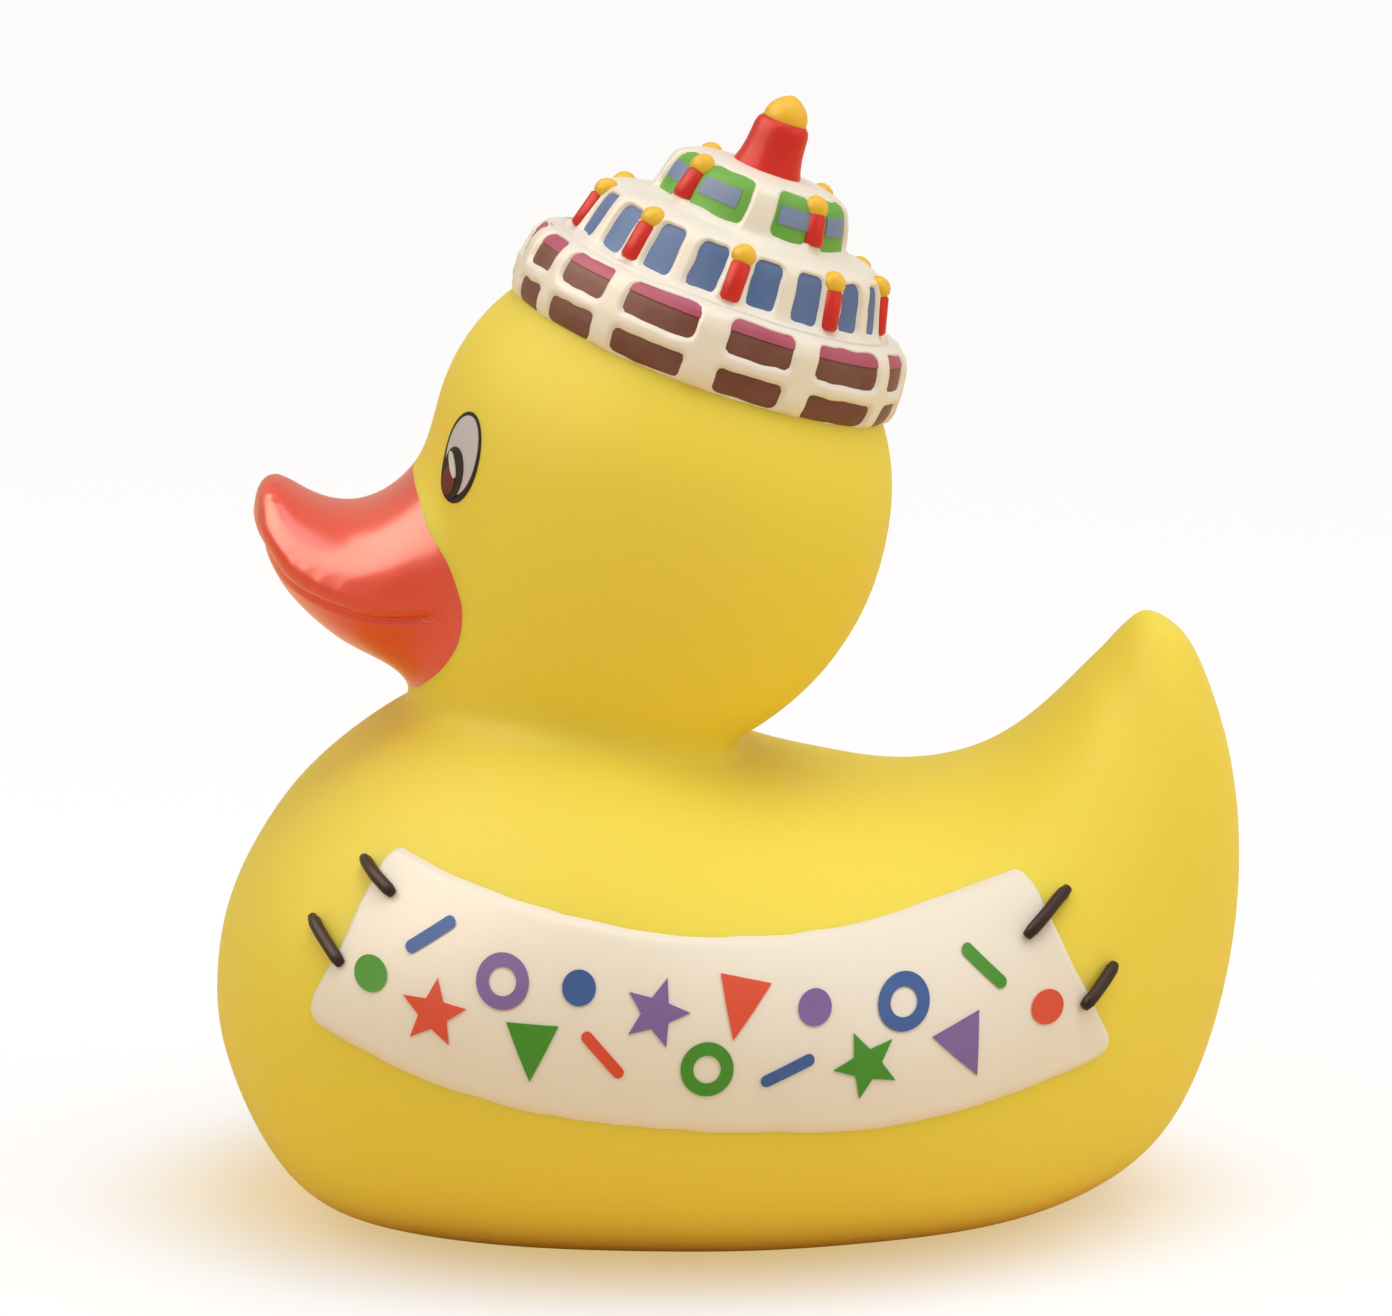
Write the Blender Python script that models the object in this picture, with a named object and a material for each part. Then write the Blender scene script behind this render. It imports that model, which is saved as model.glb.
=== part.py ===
"""Rubber duck with a tiered cake hat: one hollow soft-vinyl moulding.

The duck looks along -X and is symmetric about the plane Y = 0. It stands on Z = 0.
The body and tail are one horn-shaped loft, the head and the bill are two more, and the hat
is a turned profile. They are joined into one skin, and a smaller copy of the lofts is cut out
of it to leave the wall, which opens through a small hole in the flat base.
"""
import math

import bmesh
import bpy
import numpy as np
from mathutils import Matrix, Vector
from mathutils.bvhtree import BVHTree

MM = 0.001
WALL = 2.2              # thickness of the moulded skin, mm
VENT_RADIUS = 3.0       # hole in the flat base, mm
BODY_RINGS = 34
BODY_SIDES = 32
HEAD_RINGS = 18
HEAD_SIDES = 28
BILL_RINGS = 12
BILL_SIDES = 20
CAVITY_SIDES = 20

# Stations of the body and tail, chest to tail tip. Each is the ring's top X, Z, its bottom X, Z,
# its half width, the height of its widest line as a share from bottom to top, and the exponents
# of its upper and lower halves.
BODY = (
    (-45.3, 20.6, -45.3, 20.4, 0.2, 0.50, 2.0, 2.0),
    (-44.9, 24.8, -45.0, 16.2, 8.0, 0.50, 2.0, 2.0),
    (-43.6, 28.9, -43.8, 12.3, 14.8, 0.50, 2.0, 2.0),
    (-41.0, 33.6, -41.4, 7.5, 21.8, 0.50, 2.0, 2.1),
    (-37.6, 37.9, -37.8, 3.0, 27.6, 0.50, 2.0, 2.2),
    (-32.5, 42.2, -33.0, 0.2, 32.0, 0.48, 2.0, 2.2),
    (-26.0, 45.9, -26.4, -1.2, 35.0, 0.46, 2.0, 2.2),
    (-17.5, 47.9, -18.0, -1.9, 37.0, 0.44, 2.0, 2.2),
    (-8.5, 45.9, -7.5, -2.1, 37.6, 0.44, 2.1, 2.2),
    (0.0, 41.1, 3.0, -2.0, 36.8, 0.46, 2.2, 2.2),
    (8.0, 38.9, 13.5, -1.5, 34.8, 0.48, 2.2, 2.2),
    (15.2, 38.3, 23.5, -0.6, 31.2, 0.50, 2.1, 2.2),
    (22.5, 40.1, 32.0, 1.4, 26.2, 0.54, 2.0, 2.1),
    (27.8, 44.1, 38.8, 6.1, 20.6, 0.57, 1.9, 2.0),
    (31.3, 47.9, 43.4, 16.0, 15.2, 0.60, 1.8, 1.9),
    (33.2, 50.0, 45.3, 29.1, 11.0, 0.60, 1.7, 1.9),
    (34.6, 51.6, 44.5, 39.2, 8.0, 0.60, 1.7, 1.9),
    (35.7, 52.6, 42.4, 46.5, 5.4, 0.55, 1.8, 1.9),
    (36.8, 53.0, 40.2, 50.9, 2.8, 0.50, 2.0, 2.0),
    (38.2, 52.6, 38.6, 52.2, 0.2, 0.50, 2.0, 2.0),
)
# Stations of the head, neck to scalp: front X, Z, back X, Z, half width.
HEAD = (
    (-24.0, 37.2, -7.0, 34.1, 11.0),
    (-26.8, 44.8, -1.8, 40.2, 14.2),
    (-28.1, 47.7, 3.4, 43.6, 16.2),
    (-28.9, 50.8, 8.1, 47.7, 18.2),
    (-28.6, 54.8, 12.0, 53.7, 20.0),
    (-28.0, 59.4, 13.8, 59.4, 20.8),
    (-27.2, 64.0, 14.3, 64.6, 20.8),
    (-26.2, 69.3, 13.4, 69.9, 20.0),
    (-24.7, 74.1, 11.2, 74.7, 18.0),
    (-21.8, 78.8, 7.4, 79.2, 14.6),
    (-17.0, 82.6, 1.6, 82.6, 9.6),
    (-10.0, 84.4, -6.0, 84.4, 2.0),
)
# Stations of the bill, root to tip: top X, Z, bottom X, Z, half width.
BILL = (
    (-18.0, 71.5, -18.0, 46.3, 11.4),
    (-25.6, 68.2, -25.7, 45.7, 12.2),
    (-28.6, 64.9, -29.0, 48.0, 12.2),
    (-31.4, 63.0, -33.0, 50.2, 11.8),
    (-34.4, 62.6, -36.7, 52.9, 10.8),
    (-37.2, 63.6, -39.4, 55.8, 9.2),
    (-39.4, 65.0, -40.9, 59.2, 6.6),
    (-40.8, 64.9, -41.5, 62.0, 3.4),
    (-41.4, 63.9, -41.5, 63.4, 0.6),
)
# Hat: turned profile about its own axis, radius and height above the brim plane.
HAT_AXIS_X, HAT_AXIS_Z = -2.5, 76.2
HAT_TILT = math.radians(20.0)
HAT = (
    (0.0, -4.0), (14.2, -4.0), (16.4, -0.9), (17.2, -0.2), (17.5, 0.8), (17.4, 2.6), (17.1, 4.6), (16.6, 5.6),
    (15.9, 6.1), (14.9, 6.25), (14.0, 6.5), (13.7, 7.3), (12.8, 10.4), (12.1, 11.2), (11.0, 11.6), (9.6, 11.8),
    (8.8, 12.0), (8.5, 12.4), (8.0, 14.6), (7.5, 15.8), (6.5, 16.4), (4.4, 16.8), (3.2, 17.1), (2.7, 18.6),
    (2.45, 20.2), (1.9, 21.0), (1.75, 21.9), (1.2, 22.9), (0.0, 23.45),
)
# Candles round a tier: radius, foot height, top height, number, and the first one's place in steps.
MID_CANDLES = (13.5, 7.0, 10.9, 9, 0.25)
TOP_CANDLES = (8.2, 12.9, 16.1, 4, 0.4556)
CANDLE_RADIUS = 1.0
# Banner on each flank: five points along its upper edge and its lower edge, X and Z.
BANNER_TOP = ((-28.6, 38.2), (-16.5, 34.7), (-2.0, 32.0), (12.0, 32.0), (25.4, 34.9))
BANNER_LOW = ((-36.2, 24.0), (-20.5, 18.6), (-2.0, 16.1), (16.0, 15.8), (33.4, 18.8))
BANNER_RISE = 0.9
BANNER_STEPS, BANNER_ROWS = 16, 4
# Stitches: start X, Z and end X, Z of each raised thread.
STITCHES = (
    (-30.8, 36.3, -28.2, 34.5), (-35.1, 31.5, -32.5, 28.9),
    (28.7, 32.8, 25.0, 29.7), (32.6, 26.4, 29.8, 23.6),
)
STITCH_RADIUS = 0.6


def spline(stations, count):
    """Rows read from a natural cubic spline through the stations, evenly along its length."""
    rows = np.array(stations, dtype=float)
    gaps = np.linalg.norm(np.diff(rows[:, :5], axis=0), axis=1)
    knots = np.concatenate(([0.0], np.cumsum(gaps)))
    n = len(knots)
    system = np.eye(n)
    right = np.zeros_like(rows)
    for i in range(1, n - 1):
        before, after = gaps[i - 1], gaps[i]
        system[i, i - 1:i + 2] = before, 2.0 * (before + after), after
        right[i] = 6.0 * ((rows[i + 1] - rows[i]) / after - (rows[i] - rows[i - 1]) / before)
    bend = np.linalg.solve(system, right)
    out = []
    for s in np.linspace(0.0, knots[-1], count):
        i = min(int(np.searchsorted(knots, s, side="right")) - 1, n - 2)
        gap = gaps[i]
        a, b = (knots[i + 1] - s) / gap, (s - knots[i]) / gap
        out.append(a * rows[i] + b * rows[i + 1]
                   + ((a ** 3 - a) * bend[i] + (b ** 3 - b) * bend[i + 1]) * gap * gap / 6.0)
    return out


def ring_points(row, sides, shrink=0.0):
    """Points round one ring, from its top or front round through +Y."""
    top = Vector((row[0], 0.0, row[1]))
    low = Vector((row[2], 0.0, row[3]))
    share = row[5] if len(row) > 5 else 0.5
    powers = (row[6], row[7]) if len(row) > 5 else (2.0, 2.0)
    along = (top - low).normalized() * shrink
    top, low, width = top - along, low + along, max(row[4] - shrink, 0.1)
    middle = low.lerp(top, share)
    points = []
    for i in range(sides):
        angle = 2.0 * math.pi * i / sides
        c, s = math.cos(angle), math.sin(angle)
        power = powers[0] if c >= 0.0 else powers[1]
        end = top if c >= 0.0 else low
        reach = abs(c) ** (2.0 / power)
        out = math.copysign(abs(s) ** (2.0 / power), s) if abs(s) > 1e-9 else 0.0
        point = middle + (end - middle) * reach
        points.append(Vector((point.x, width * out, point.z)) * MM)
    return points


def extrude_ring(bm, ring, points):
    """Extrude a closed loop of vertices and place the new loop on the given points."""
    size = len(ring)
    edges = [bm.edges.get((ring[i], ring[(i + 1) % size])) for i in range(size)]
    made = bmesh.ops.extrude_edge_only(bm, edges=edges)["geom"]
    new = {item for item in made if isinstance(item, bmesh.types.BMVert)}
    result = []
    for vert, point in zip(ring, points):
        twin = next(e.other_vert(vert) for e in vert.link_edges if e.other_vert(vert) in new)
        twin.co = point
        result.append(twin)
    return result


def loft(name, rows, sides, shrink=0.0):
    """Closed skin over a row of rings, with a fan at each end."""
    bm = bmesh.new()
    rings = [ring_points(row, sides, shrink) for row in rows]
    first = bmesh.ops.create_circle(bm, segments=sides, radius=MM)["verts"]
    for vert, point in zip(first, rings[0]):
        vert.co = point
    ring = list(first)
    for points in rings[1:]:
        ring = extrude_ring(bm, ring, points)
    for loop in (list(first), ring):
        centre = sum((v.co for v in loop), Vector()) / sides
        fan = extrude_ring(bm, loop, [centre] * sides)
        bmesh.ops.pointmerge(bm, verts=fan, merge_co=centre)
    return finish(name, bm)


def finish(name, bm):
    """Turn the normals outwards and make the mesh an object."""
    bmesh.ops.recalc_face_normals(bm, faces=bm.faces)
    mesh = bpy.data.meshes.new(name)
    bm.to_mesh(mesh)
    bm.free()
    obj = bpy.data.objects.new(name, mesh)
    bpy.context.scene.collection.objects.link(obj)
    return obj


def hat_frame():
    """Matrix from the hat's own axes to the world."""
    return (Matrix.Translation(Vector((HAT_AXIS_X, 0.0, HAT_AXIS_Z)) * MM)
            @ Matrix.Rotation(HAT_TILT, 4, "Y"))


def turned(name, profile, sides, matrix):
    """Solid of revolution about Z from a profile that starts and ends on the axis."""
    bm = bmesh.new()
    verts = [bm.verts.new(Vector((r, 0.0, z)) * MM) for r, z in profile]
    edges = [bm.edges.new(pair) for pair in zip(verts, verts[1:])]
    bmesh.ops.spin(bm, geom=verts + edges, cent=(0, 0, 0), axis=(0, 0, 1),
                   angle=2.0 * math.pi, steps=sides, use_merge=True)
    bmesh.ops.remove_doubles(bm, verts=bm.verts, dist=1e-6)
    bmesh.ops.transform(bm, matrix=matrix, verts=bm.verts)
    return finish(name, bm)


def capsule(name, start, end, radius, sides=8):
    """Round-ended rod between two points."""
    length = (end - start).length
    profile = [(0.0, -0.9 * radius), (0.7 * radius, -0.6 * radius), (radius, 0.0)]
    profile += [(r, length / MM - z) for r, z in reversed(profile)]
    turn = (end - start).to_track_quat("Z", "Y").to_matrix().to_4x4()
    return turned(name, profile, sides, Matrix.Translation(start) @ turn)


def curve_at(points, t):
    """Point on the smooth curve through the given points, t from 0 to 1."""
    place = t * (len(points) - 1)
    i = min(int(place), len(points) - 2)
    p = [Vector(points[min(max(j, 0), len(points) - 1)]) for j in range(i - 1, i + 3)]
    f = place - i
    return 0.5 * ((2.0 * p[1]) + (p[2] - p[0]) * f
                  + (2.0 * p[0] - 5.0 * p[1] + 4.0 * p[2] - p[3]) * f * f
                  + (3.0 * p[1] - 3.0 * p[2] + p[3] - p[0]) * f * f * f)


def flank(tree, x, z, side):
    """Point where a line across the duck meets its flank."""
    hit = tree.ray_cast(Vector((x * MM, side * 0.1, z * MM)), Vector((0.0, -side, 0.0)))
    return hit[0], hit[1]


def banner(name, tree, side):
    """Raised strip that follows the flank, as a grid extruded into the body."""
    bm = bmesh.new()
    bmesh.ops.create_grid(bm, x_segments=BANNER_STEPS, y_segments=BANNER_ROWS, size=0.5)
    for vert in bm.verts:
        t, v = vert.co.x + 0.5, vert.co.y + 0.5
        spot = curve_at(BANNER_LOW, t).lerp(curve_at(BANNER_TOP, t), v)
        point, normal = flank(tree, spot[0], spot[1], side)
        vert.co = point + normal * BANNER_RISE * MM
    faces = bmesh.ops.extrude_face_region(bm, geom=bm.faces[:])["geom"]
    for item in faces:
        if isinstance(item, bmesh.types.BMVert):
            item.co.y -= side * 2.0 * MM
    return finish(name, bm)


def apply_boolean(target, other, operation):
    """Join or cut with an exact Boolean, then drop the other solid."""
    modifier = target.modifiers.new("Boolean", "BOOLEAN")
    modifier.operation = operation
    modifier.solver = "EXACT"
    modifier.object = other
    evaluated = target.evaluated_get(bpy.context.evaluated_depsgraph_get())
    mesh = bpy.data.meshes.new_from_object(evaluated)
    target.modifiers.clear()
    target.data = mesh
    bpy.data.objects.remove(other)


def vinyl(name, colour):
    """Soft matt vinyl."""
    material = bpy.data.materials.new(name)
    material.use_nodes = True
    shader = material.node_tree.nodes["Principled BSDF"]
    shader.inputs["Base Color"].default_value = (*colour, 1.0)
    shader.inputs["Roughness"].default_value = 0.45
    shader.inputs["Metallic"].default_value = 0.0
    return material


def build():
    for old in list(bpy.data.objects):
        bpy.data.objects.remove(old)

    body_rows = spline(BODY, BODY_RINGS)
    head_rows = spline(HEAD, HEAD_RINGS)
    duck = loft("duck", body_rows, BODY_SIDES)

    flanks = bmesh.new()
    flanks.from_mesh(duck.data)
    tree = BVHTree.FromBMesh(flanks)
    flanks.free()

    apply_boolean(duck, loft("head", head_rows, HEAD_SIDES), "UNION")
    apply_boolean(duck, loft("bill", spline(BILL, BILL_RINGS), BILL_SIDES), "UNION")

    frame = hat_frame()
    apply_boolean(duck, turned("hat", HAT, 48, frame), "UNION")
    for radius, foot, top, count, first in (MID_CANDLES, TOP_CANDLES):
        for i in range(count):
            angle = 2.0 * math.pi * (i + first) / count
            out = Vector((-math.cos(angle), -math.sin(angle), 0.0))
            start = frame @ ((out * (radius - 0.4) + Vector((0.0, 0.0, foot))) * MM)
            end = frame @ ((out * (radius - 1.0) + Vector((0.0, 0.0, top))) * MM)
            apply_boolean(duck, capsule("candle", start, end, CANDLE_RADIUS), "UNION")

    for side in (1.0, -1.0):
        apply_boolean(duck, banner("banner", tree, side), "UNION")
        for x0, z0, x1, z1 in STITCHES:
            start, out = flank(tree, x0, z0, side)
            end, out_end = flank(tree, x1, z1, side)
            apply_boolean(duck, capsule("stitch", start + out * 0.0007, end + out_end * 0.0009,
                                        STITCH_RADIUS), "UNION")

    floor = bmesh.new()
    bmesh.ops.create_cube(floor, size=0.2)
    bmesh.ops.translate(floor, verts=floor.verts, vec=(0.0, 0.0, -0.1))
    apply_boolean(duck, finish("floor", floor), "DIFFERENCE")

    cavity = loft("cavity", spline(BODY[2:-2], 20), CAVITY_SIDES, WALL)
    apply_boolean(cavity, loft("head_cavity", spline(HEAD[1:-1], 12), CAVITY_SIDES, WALL), "UNION")
    lowest = bmesh.new()
    bmesh.ops.create_cube(lowest, size=0.2)
    bmesh.ops.translate(lowest, verts=lowest.verts, vec=(0.0, 0.0, -0.1 + WALL * MM))
    apply_boolean(cavity, finish("lowest", lowest), "DIFFERENCE")
    vent = [(0.0, -5.0), (VENT_RADIUS, -5.0), (VENT_RADIUS, 8.0), (0.0, 8.0)]
    apply_boolean(cavity, turned("vent", vent, 24, Matrix.Translation((-4.0 * MM, 0.0, 0.0))), "UNION")
    apply_boolean(duck, cavity, "DIFFERENCE")

    duck.data.materials.clear()
    duck.data.materials.append(vinyl("yellow_vinyl", (0.86, 0.62, 0.05)))
    duck.data.shade_smooth()
    duck.data.set_sharp_from_angle(angle=math.radians(40.0))


build()
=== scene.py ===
"""Looks of a rubber duck with a tiered cake hat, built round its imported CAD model."""
import math

import bmesh
import bpy
import numpy as np
from mathutils import Matrix, Vector, noise
from mathutils.bvhtree import BVHTree


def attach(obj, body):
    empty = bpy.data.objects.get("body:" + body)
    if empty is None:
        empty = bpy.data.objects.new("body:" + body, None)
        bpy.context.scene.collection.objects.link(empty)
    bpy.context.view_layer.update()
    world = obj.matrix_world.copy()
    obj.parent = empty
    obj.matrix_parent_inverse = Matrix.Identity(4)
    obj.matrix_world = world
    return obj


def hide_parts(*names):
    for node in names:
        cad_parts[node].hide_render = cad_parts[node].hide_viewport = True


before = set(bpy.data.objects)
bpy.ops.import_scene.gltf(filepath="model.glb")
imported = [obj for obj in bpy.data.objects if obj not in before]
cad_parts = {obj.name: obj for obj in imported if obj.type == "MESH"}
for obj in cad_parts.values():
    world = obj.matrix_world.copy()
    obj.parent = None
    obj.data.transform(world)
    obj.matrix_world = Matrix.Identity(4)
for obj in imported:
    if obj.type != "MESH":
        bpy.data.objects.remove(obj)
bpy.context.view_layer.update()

bl_info = {
    "name": "Cake hat duck",
    "version": (1, 0, 0),
    "blender": (4, 5, 0),
    "location": "3D View > Sidebar > Duck",
    "description": "Builds a vinyl bath duck with a tiered cake hat, banners and painted details",
    "category": "Add Mesh",
}

MM = 0.001
ROOT = "root"

# Stations of the body and tail: ring top X, Z, bottom X, Z, half width, share of height at the
# widest line, and the exponents of the upper and lower halves. Millimetres.
BODY = (
    (-45.3, 20.6, -45.3, 20.4, 0.2, 0.50, 2.0, 2.0),
    (-44.9, 24.8, -45.0, 16.2, 8.0, 0.50, 2.0, 2.0),
    (-43.6, 28.9, -43.8, 12.3, 14.8, 0.50, 2.0, 2.0),
    (-41.0, 33.6, -41.4, 7.5, 21.8, 0.50, 2.0, 2.1),
    (-37.6, 37.9, -37.8, 3.0, 27.6, 0.50, 2.0, 2.2),
    (-32.5, 42.2, -33.0, 0.2, 32.0, 0.48, 2.0, 2.2),
    (-26.0, 45.9, -26.4, -1.2, 35.0, 0.46, 2.0, 2.2),
    (-17.5, 47.9, -18.0, -1.9, 37.0, 0.44, 2.0, 2.2),
    (-8.5, 45.9, -7.5, -2.1, 37.6, 0.44, 2.1, 2.2),
    (0.0, 41.1, 3.0, -2.0, 36.8, 0.46, 2.2, 2.2),
    (8.0, 38.9, 13.5, -1.5, 34.8, 0.48, 2.2, 2.2),
    (15.2, 38.3, 23.5, -0.6, 31.2, 0.50, 2.1, 2.2),
    (22.5, 40.1, 32.0, 1.4, 26.2, 0.54, 2.0, 2.1),
    (27.8, 44.1, 38.8, 6.1, 20.6, 0.57, 1.9, 2.0),
    (31.3, 47.9, 43.4, 16.0, 15.2, 0.60, 1.8, 1.9),
    (33.2, 50.0, 45.3, 29.1, 11.0, 0.60, 1.7, 1.9),
    (34.6, 51.6, 44.5, 39.2, 8.0, 0.60, 1.7, 1.9),
    (35.7, 52.6, 42.4, 46.5, 5.4, 0.55, 1.8, 1.9),
    (36.8, 53.0, 40.2, 50.9, 2.8, 0.50, 2.0, 2.0),
    (38.2, 52.6, 38.6, 52.2, 0.2, 0.50, 2.0, 2.0),
)
# Head and bill: ring top or front X, Z, the opposite point's X, Z, and half width.
HEAD = (
    (-24.0, 37.2, -7.0, 34.1, 11.0),
    (-26.8, 44.8, -1.8, 40.2, 14.2),
    (-28.1, 47.7, 3.4, 43.6, 16.2),
    (-28.9, 50.8, 8.1, 47.7, 18.2),
    (-28.6, 54.8, 12.0, 53.7, 20.0),
    (-28.0, 59.4, 13.8, 59.4, 20.8),
    (-27.2, 64.0, 14.3, 64.6, 20.8),
    (-26.2, 69.3, 13.4, 69.9, 20.0),
    (-24.7, 74.1, 11.2, 74.7, 18.0),
    (-21.8, 78.8, 7.4, 79.2, 14.6),
    (-17.0, 82.6, 1.6, 82.6, 9.6),
    (-10.0, 84.4, -6.0, 84.4, 2.0),
)
BILL = (
    (-18.0, 71.5, -18.0, 46.3, 11.4),
    (-25.6, 68.2, -25.7, 45.7, 12.2),
    (-28.6, 64.9, -29.0, 48.0, 12.2),
    (-31.4, 63.0, -33.0, 50.2, 11.8),
    (-34.4, 62.6, -36.7, 52.9, 10.8),
    (-37.2, 63.6, -39.4, 55.8, 9.2),
    (-39.4, 65.0, -40.9, 59.2, 6.6),
    (-40.8, 64.9, -41.5, 62.0, 3.4),
    (-41.4, 63.9, -41.5, 63.4, 0.6),
)
# Edge of the bill's paint on the head, and the line of the mouth, X and Z, in mm.
BILL_EDGE = ((-28.6, 70.0), (-27.8, 66.6), (-26.8, 64.4), (-25.9, 62.2), (-24.3, 59.8), (-23.3, 57.4),
             (-22.9, 55.5), (-23.3, 52.8), (-24.7, 50.3), (-26.2, 48.6), (-27.4, 47.4), (-29.4, 46.9))
MOUTH = ((-43.0, 61.4), (-41.2, 60.2), (-40.0, 59.0), (-38.9, 57.6), (-37.4, 56.6), (-35.5, 55.8),
         (-33.4, 55.1), (-30.8, 54.4), (-28.0, 54.4), (-25.2, 54.8), (-22.5, 55.4))
# Hat: where its axis stands and how far it leans back, and its profile as radius and height.
HAT_X, HAT_Z, HAT_TILT = -2.5, 76.2, math.radians(20.0)
HAT = (
    (0.0, -4.0), (14.2, -4.0), (16.4, -0.9), (17.2, -0.2), (17.5, 0.8), (17.4, 2.6), (17.1, 4.6), (16.6, 5.6),
    (15.9, 6.1), (14.9, 6.25), (14.0, 6.5), (13.7, 7.3), (12.8, 10.4), (12.1, 11.2), (11.0, 11.6), (9.6, 11.8),
    (8.8, 12.0), (8.5, 12.4), (8.0, 14.6), (7.5, 15.8), (6.5, 16.4), (4.4, 16.8), (0.0, 16.9),
)
# Coloured panels: middle and width in degrees from the duck's face, and foot and top heights.
BRICKS = ((24.0, 14.0), (45.5, 17.0), (72.5, 22.0), (103.0, 19.5), (134.5, 26.0), (162.0, 15.0),
          (188.0, 20.0), (218.0, 22.0), (249.0, 22.0), (280.0, 22.0), (309.0, 20.0), (336.0, 18.0),
          (1.0, 16.0))
BRICK_ROWS = ((-0.45, 1.75), (3.1, 5.85))
# Painted highlight: a lighter plum copy of the brick paint along the bricks' upper edge, where the tier's top
# rounds over and catches the light from above.
BRICK_HIGHLIGHT_ROW = (5.1, 5.95)
BLUES = tuple((10.0 + 40.0 * i + d, 11.0) for i in range(9) for d in (-11.0, 11.0))
BLUE_ROW = (6.8, 10.8)
GREENS = tuple(((41.0 + 90.0 * i + d) % 360.0, width)
               for i in range(4) for d, width in ((24.5, 37.0), (-18.0, 24.0)))
GREEN_ROW = (12.4, 16.3)
BARS = tuple(((41.0 + 90.0 * i + d) % 360.0, width)
             for i in range(4) for d, width in ((23.0, 25.0), (-16.5, 20.0)))
BAR_ROW = (13.8, 15.1)
# Panels: thickness, corner radius, and how far their icing lies under the bare profile.
PANEL_THICK, PANEL_CORNER, PANEL_SINK = 0.5, 0.55, 0.30
# Candles: radius of their circle, foot, top, number, and place of the first as a share of a step.
MID_CANDLES = (13.75, 6.7, 10.1, 9, 0.25)
TOP_CANDLES = (8.35, 12.5, 15.2, 4, 0.4556)
# How far a candle's top and its flame's tip lean in towards the axis, and how tall the flame is.
CANDLE_LEAN, FLAME_LEAN, FLAME_TALL = 0.85, 1.5, 1.5
# Outlines of a candle, its flame, the middle post and its flame: share along, and radius.
STICK = ((0.0, 0.8), (0.08, 1.02), (0.5, 0.98), (0.93, 0.95), (1.0, 0.7))
FLAME = ((-0.15, 0.7), (0.0, 0.98), (0.25, 1.1), (0.55, 1.05), (0.78, 0.8), (0.93, 0.5), (1.0, 0.2))
POST = ((0.0, 3.15), (0.1, 3.05), (0.25, 2.8), (0.45, 2.6), (0.65, 2.5), (0.8, 2.45), (0.9, 2.3),
        (0.97, 2.0), (1.0, 1.6))
POST_FLAME = ((0.0, 1.85), (0.15, 1.95), (0.35, 1.9), (0.55, 1.7), (0.75, 1.3), (0.9, 0.8), (1.0, 0.25))
POST_FOOT, POST_TOP, POST_FLAME_FOOT, POST_FLAME_TOP = 16.4, 21.4, 20.9, 23.5
# Banner edges, and the ends of the stitches, X and Z.
BANNER_TOP = ((-28.6, 38.2), (-16.5, 34.7), (-2.0, 32.0), (12.0, 32.0), (25.4, 34.9))
BANNER_LOW = ((-36.2, 24.0), (-20.5, 18.6), (-2.0, 16.1), (16.0, 15.8), (33.4, 18.8))
STITCHES = ((-30.8, 36.3, -28.2, 34.5), (-35.1, 31.5, -32.5, 28.9),
            (28.7, 32.8, 25.0, 29.7), (32.6, 26.4, 29.8, 23.6))
BANNER_CORNER, BANNER_THICK, MOTIF_THICK, MOTIF_RISE = 2.7, 1.2, 0.5, 0.13
STITCH_STEPS, STITCH_RADIUS, STITCH_END_RADIUS, STITCH_RISE = 8, 0.56, 0.42, 0.35
# Party shapes on the banner: shape, colour, place along and across, size in mm, turn in degrees.
MOTIFS = (
    ("disc", "green", 0.075, 0.40, 1.4, 0), ("dash", "blue", 0.13, 0.70, 2.55, 50),
    ("star", "red", 0.165, 0.36, 2.8, 10), ("ring", "purple", 0.235, 0.62, 2.2, 0),
    ("flag", "green", 0.29, 0.34, 2.7, 8), ("disc", "blue", 0.335, 0.68, 1.4, 0),
    ("dash", "red", 0.375, 0.38, 2.55, -40), ("star", "purple", 0.435, 0.62, 2.8, -12),
    ("ring", "green", 0.50, 0.36, 2.2, 0), ("flag", "red", 0.545, 0.68, 2.7, -10),
    ("dash", "blue", 0.60, 0.36, 2.55, 25), ("disc", "purple", 0.645, 0.66, 1.4, 0),
    ("star", "green", 0.70, 0.36, 2.8, 20), ("ring", "blue", 0.765, 0.62, 2.2, 0),
    ("flag", "purple", 0.82, 0.34, 2.7, 12), ("dash", "green", 0.87, 0.66, 2.55, -55),
    ("disc", "red", 0.925, 0.38, 1.4, 0),
)
EYE_X, EYE_Z, EYE_SINK = -23.1, 68.6, 0.25
EYE_RINGS, EYE_SIDES = 10, 72
EYE_UP = Vector((0.14, 0.0, 0.99))
# Hole in the underside: place along X, radius and depth of the cut.
VENT_X, VENT_RADIUS, VENT_DEPTH = -4.0, 3.0, 6.0


def tint(name, about, colour):
    """Setting that holds a colour."""
    return bpy.props.FloatVectorProperty(name=name, description=about, subtype="COLOR", size=3, default=colour)


def length(name, about, size):
    """Setting that holds a length, given in mm."""
    return bpy.props.FloatProperty(name=name, description=about, unit="LENGTH", default=size * MM)


class DuckSkinSettings(bpy.types.PropertyGroup):
    """Moulded vinyl skin and the paint on its bill."""
    voxel: length("Skin detail", "Size of the skin's quads", 0.6)
    yellow: tint("Yellow", "Body colour", (0.88, 0.72, 0.09))
    # Painted shade: warm, darker colour laid into the neck fold and over the foot, where the vinyl lies in
    # shade.
    shade_tint: tint("Amber", "Warm colour in folds and at the foot", (0.80, 0.36, 0.03))
    bill_red: tint("Bill", "Bill paint", (0.80, 0.060, 0.022))
    mouth_depth: length("Mouth depth", "Depth of the mouth line", 0.55)


class DuckEyeSettings(bpy.types.PropertyGroup):
    """Printed eyes."""
    height: length("Height", "Half height of an eye", 4.0)
    width: length("Width", "Half width of an eye", 2.85)


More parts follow.
